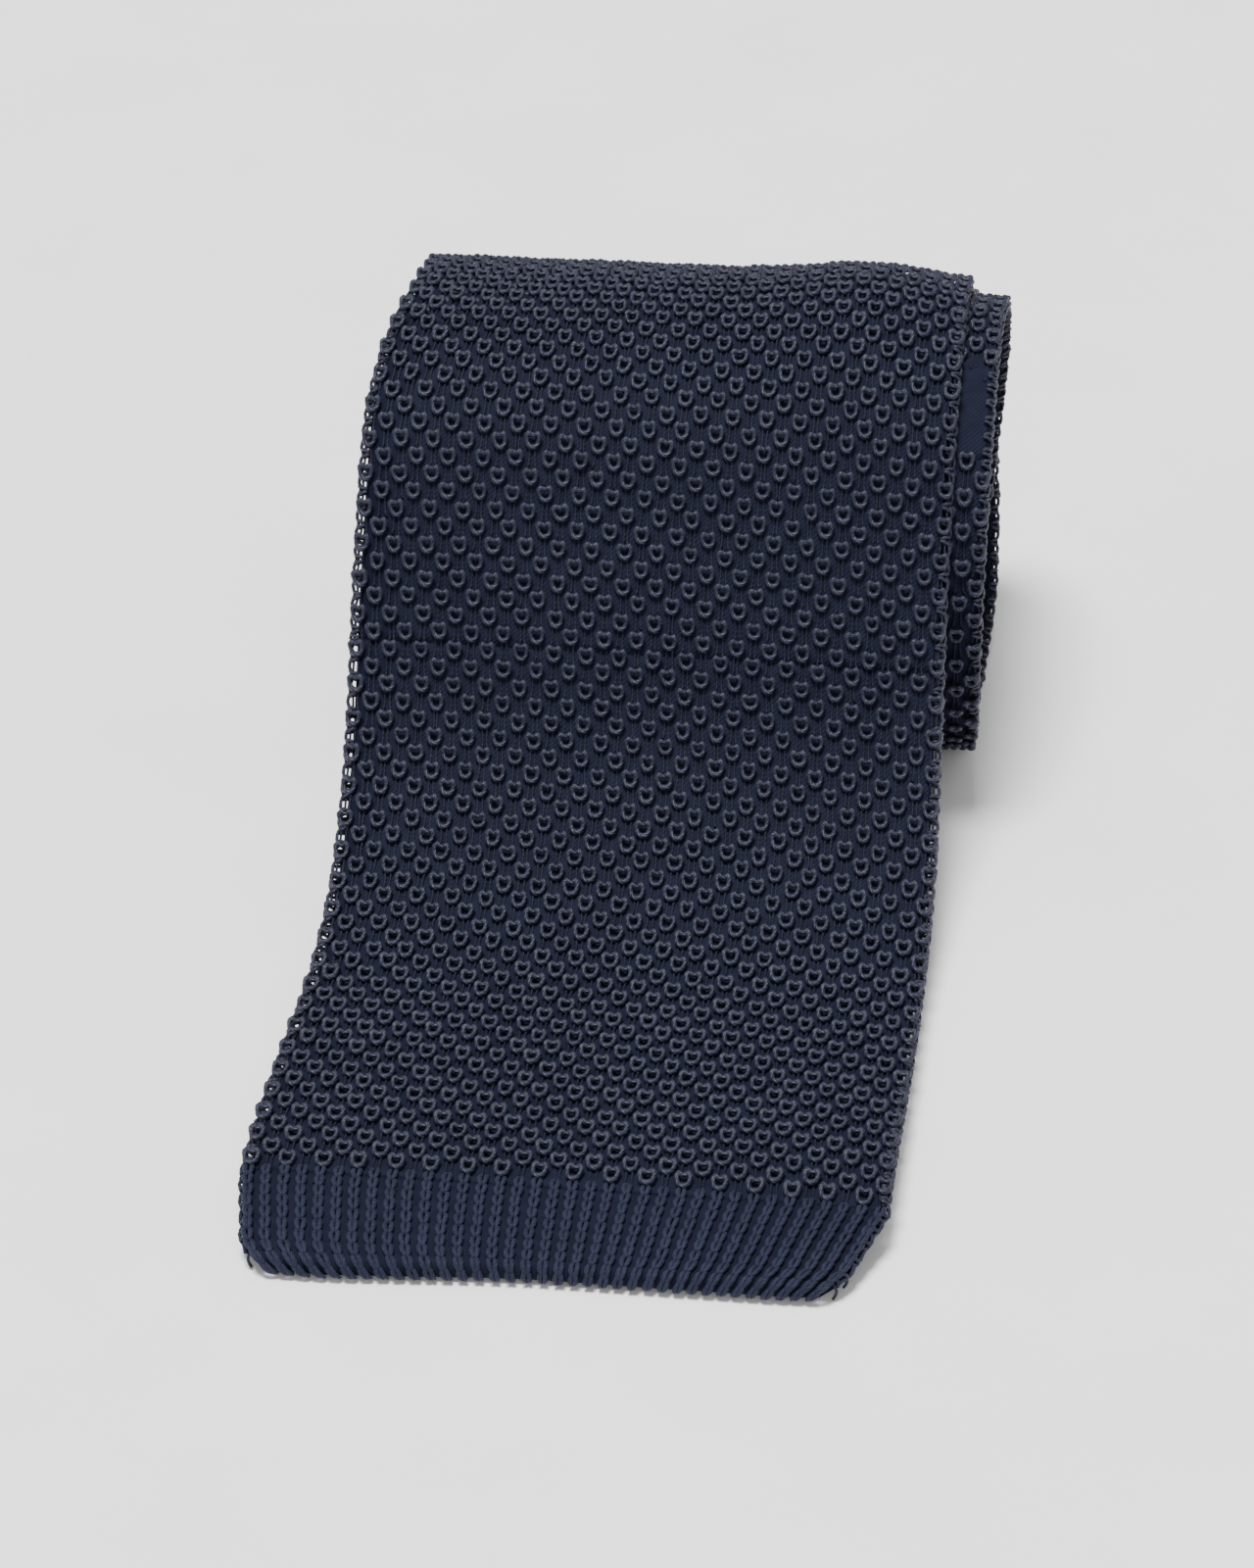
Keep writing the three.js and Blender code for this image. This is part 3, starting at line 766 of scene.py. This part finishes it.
for name, first, last, follows, shell, seam_node in STRETCHES:
    covered = first >= S_THIRD
    base = cloth(name, first, last, *((-0.05, 1.6) if covered else (-0.3, 1.0)))
    rides(base, **follows)
    if shell:
        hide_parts(*shell)
    loops = Mesh()
    for side in (-1, 1):
        edge_loops(loops, first, last, side)
    on_it = [loops.build(name.replace("_knit", "_edges"), YARN)]
    if not covered:
        heads, strands = Mesh(), Mesh()
        if first < S_SECOND - 1:
            stitch_heads(heads, strands, first, last, ALL_WALES)
        else:
            shown = S_SECOND + math.radians(SECOND_SHOWN) * ROLL_RADIUS
            stitch_heads(heads, strands, first + SECOND_START, shown, ALL_WALES, low=-0.12)
            stitch_heads(heads, strands, shown, last, EDGE_WALES, low=-0.12)
        on_it.append(heads.build(name.replace("_knit", "_stitches"), YARN))
        # The floats take the darker yarn copy, painted shade.
        on_it.append(strands.build(name.replace("_knit", "_floats"), SHADED_YARN))
    if last <= S_C:
        behind = Mesh()
        back_heads(behind, first, last)
        on_it.append(behind.build(name.replace("_knit", "_back_stitches"), YARN))
    thread = seam(name.replace("_knit", "_seam_thread"), first, last)
    for piece in on_it:
        rides(piece, **follows)
    rides(thread, **follows)
    if seam_node:
        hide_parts(*seam_node)

# ------------------------------------------------------------------ the hem

HEM_COLUMNS = 33
HEM_TOE, HEM_INSET = 0.15, 0.35
WHIP_START, WHIP_STEP, WHIP_YARN, WHIP_POINTS = 3.2, 1.3, 0.16, 6


def hem_body():
    """The hem's folded cloth: round the end, under it, and up to meet the blade."""
    top = np.linspace(HEM_TOE, S_HEM, 30)
    columns = np.linspace(-1, 1, HEM_COLUMNS)
    mesh = Mesh()
    heel = float(np.interp(S_HEM, S, Y)) + AXIS_Y
    toe = float(np.interp(HEM_TOE, S, Y)) + AXIS_Y
    rows = []
    for s in top:
        x = columns * (half_width(s) - HEM_INSET)
        outermost = np.maximum(0, np.abs(columns) - 0.97) / 0.03
        edge = 0.5 * (1 - np.sqrt(np.maximum(0, 1 - outermost)))
        rows.append(place(np.full_like(x, s), x, -0.22 - edge)[0])
    under = np.linspace(0, 1, 14)[1:]
    for t in under[::-1]:
        y = lerp(toe, heel, t)
        z = lerp(0.05, REST_HEIGHT - float(depth(S_HEM)), t ** 1.3)
        s_over = lerp(0.4, S_HEM, t)
        x = columns * (half_width(s_over) - HEM_INSET)
        over = place(np.full_like(x, s_over), x, -0.3)[0]
        y = (y - skew(s_over, x)) * MM
        rows.append(np.stack((over[:, 0], y, np.full_like(x, z * MM)), -1))
    points = np.array(rows)
    uv = np.stack(np.meshgrid(np.arange(len(rows) + 1) * 0.5,
                              np.arange(HEM_COLUMNS + 1) * 2.0, indexing="ij"), -1)
    start = mesh.grid(points[::-1], uv, True, False)[0]
    ring = start + np.arange(len(rows)) * HEM_COLUMNS
    cap_ring(mesh, ring)
    cap_ring(mesh, (ring + HEM_COLUMNS - 1)[::-1])
    # The hem's cloth takes the dark rib ground, painted shade between the ribs.
    return mesh.build("hem_cloth", SHADED_RIB_GROUND)


hem = hem_body()
rides(hem, joint=AT_HEM)
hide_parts("hem_face", "hem_back", "hem_facing")
hem_ribs = Mesh()
ribs(hem_ribs, 0.4, S_HEM + 0.2)
hem_ribs = hem_ribs.build("hem_ribs", RIB)
hem_edges = Mesh()
for side in (-1, 1):
    edge_loops(hem_edges, 3.0, S_HEM, side)
hem_edges = hem_edges.build("hem_edges", RIB)
for piece in (hem_ribs, hem_edges):
    rides(piece, joint=AT_HEM)
for name, side in (("left", -1), ("right", 1)):
    whip = Mesh()
    s = np.arange(WHIP_START, S_HEM - 0.5, WHIP_STEP)[:, None]
    rise = np.linspace(0, 1, WHIP_POINTS)
    top, _ = place(s, side * (half_width(s) - 0.75), -0.4)
    heel_height = REST_HEIGHT - float(depth(S_HEM))
    foot = np.interp(s, [WHIP_START, S_HEM], [0.3, heel_height + 0.3]) * MM
    line = np.repeat(top, WHIP_POINTS, axis=1)
    line[..., 2] = lerp(top[..., 2], foot, rise)
    line[..., 0] += side * 0.35 * MM * np.sin(rise * math.pi)
    whip.tubes(line, np.broadcast_to((side, 0.0, 0.0), line.shape), WHIP_YARN, 5)
    whip = whip.build(f"hem_whip_{name}", THREAD)
    rides(whip, joint=AT_HEM)
    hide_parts(f"hem_stitch_{name}")

# ------------------------------------------------------------------ pieces inside the roll

SEWN = [
    ("keeper_band", KEEPER_PLACE, KEEPER_WIDTH, 0.0, KEEPER_SPAN, KEEPER_THICKNESS, SATIN, "satin",
     "keeper_loop"),
    ("label_satin", LABEL_PLACE, LABEL_LENGTH, 0.0, LABEL_SPAN, LABEL_THICKNESS, SATIN, "satin",
     "blank_label"),
    ("care_tag_tape", TAG_PLACE, TAG_LENGTH, 6.0, TAG_SPAN, TAG_THICKNESS, TAPE, "white_tape",
     "care_tag"),
]
for name, at, length, mid_x, span, thick, finish, slot, node in SEWN:
    piece = strip(name, at, at + length, mid_x - span / 2, mid_x + span / 2,
                  lambda s: -depth(s) - 0.25, thick, finish)
    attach(piece, "roll")
    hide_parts(node)
tape = strip("stay_tape", NECK_START + 4, NECK_END - 4, -5, 5,
             lambda s: -FACE_THICKNESS - 0.2 + 0 * s, 0.15, TAPE)
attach(tape, "roll")
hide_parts("neck_stay_tape")

for node, finish in {
    "blade_bar_tack": THREAD,
    "keeper_tack_left": THREAD, "keeper_tack_right": THREAD, "tail_bar_tack": THREAD,
    "tail_hem_face": RIB, "tail_hem_back": RIB, "tail_hem_facing": RIB,
    "tail_hem_stitch_left": THREAD, "tail_hem_stitch_right": THREAD,
}.items():
    carried = frame["nodes"][node]
    carried.data.materials.clear()
    carried.data.materials.append(finish)

# ------------------------------------------------------------------ camera, light and floor


def floor():
    mesh = bpy.data.meshes.new("floor")
    mesh.from_pydata([(-3, -3, 0), (3, -3, 0), (3, 3, 0), (-3, 3, 0)], [], [(0, 1, 2, 3)])

    def build(nodes, links, shader):
        fine = noise(nodes, links, nodes.new("ShaderNodeTexCoord").outputs["Object"], 40.0, 3.0)
        links.new(ramp(nodes, links, fine, [(0.3, (0.86, 0.86, 0.86)), (0.7, (0.9, 0.9, 0.9))]),
                  shader.inputs["Base Color"])
        shader.inputs["Roughness"].default_value = 0.9
        shader.inputs["Specular IOR Level"].default_value = 0.1
    mesh.materials.append(material("pale_floor", build))
    piece = bpy.data.objects.new("floor", mesh)
    bpy.context.scene.collection.objects.link(piece)


def area_light(name, at, target, size, power):
    light = bpy.data.lights.new(name, "AREA")
    light.shape, light.size, light.energy = "DISK", size, power
    piece = bpy.data.objects.new(name, light)
    piece.location = at
    aim(piece, target)
    bpy.context.scene.collection.objects.link(piece)


def aim(piece, target):
    direction = Vector(target) - Vector(piece.location)
    piece.rotation_euler = direction.to_track_quat("-Z", "Y").to_euler()


floor()
area_light("key", (-0.25, -0.45, 2.35), (0, 0, 0.02), 0.8, 112.0)
area_light("front_fill", (0.3, -2.2, 1.2), (0, 0, 0.03), 1.2, 16.0)
world = bpy.data.worlds.new("studio")
world.use_nodes = True
world.node_tree.nodes["Background"].inputs["Color"].default_value = (1, 1, 1, 1)
world.node_tree.nodes["Background"].inputs["Strength"].default_value = 0.6
bpy.context.scene.world = world

camera = bpy.data.objects.new("camera", bpy.data.cameras.new("camera"))
camera.data.lens = 130.5
camera.data.sensor_width = 36.0
camera.location = (0.054744, -0.501311, 0.339623)
aim(camera, (-0.002467, 0.000312, 0.015))
bpy.context.scene.collection.objects.link(camera)
bpy.context.scene.camera = camera
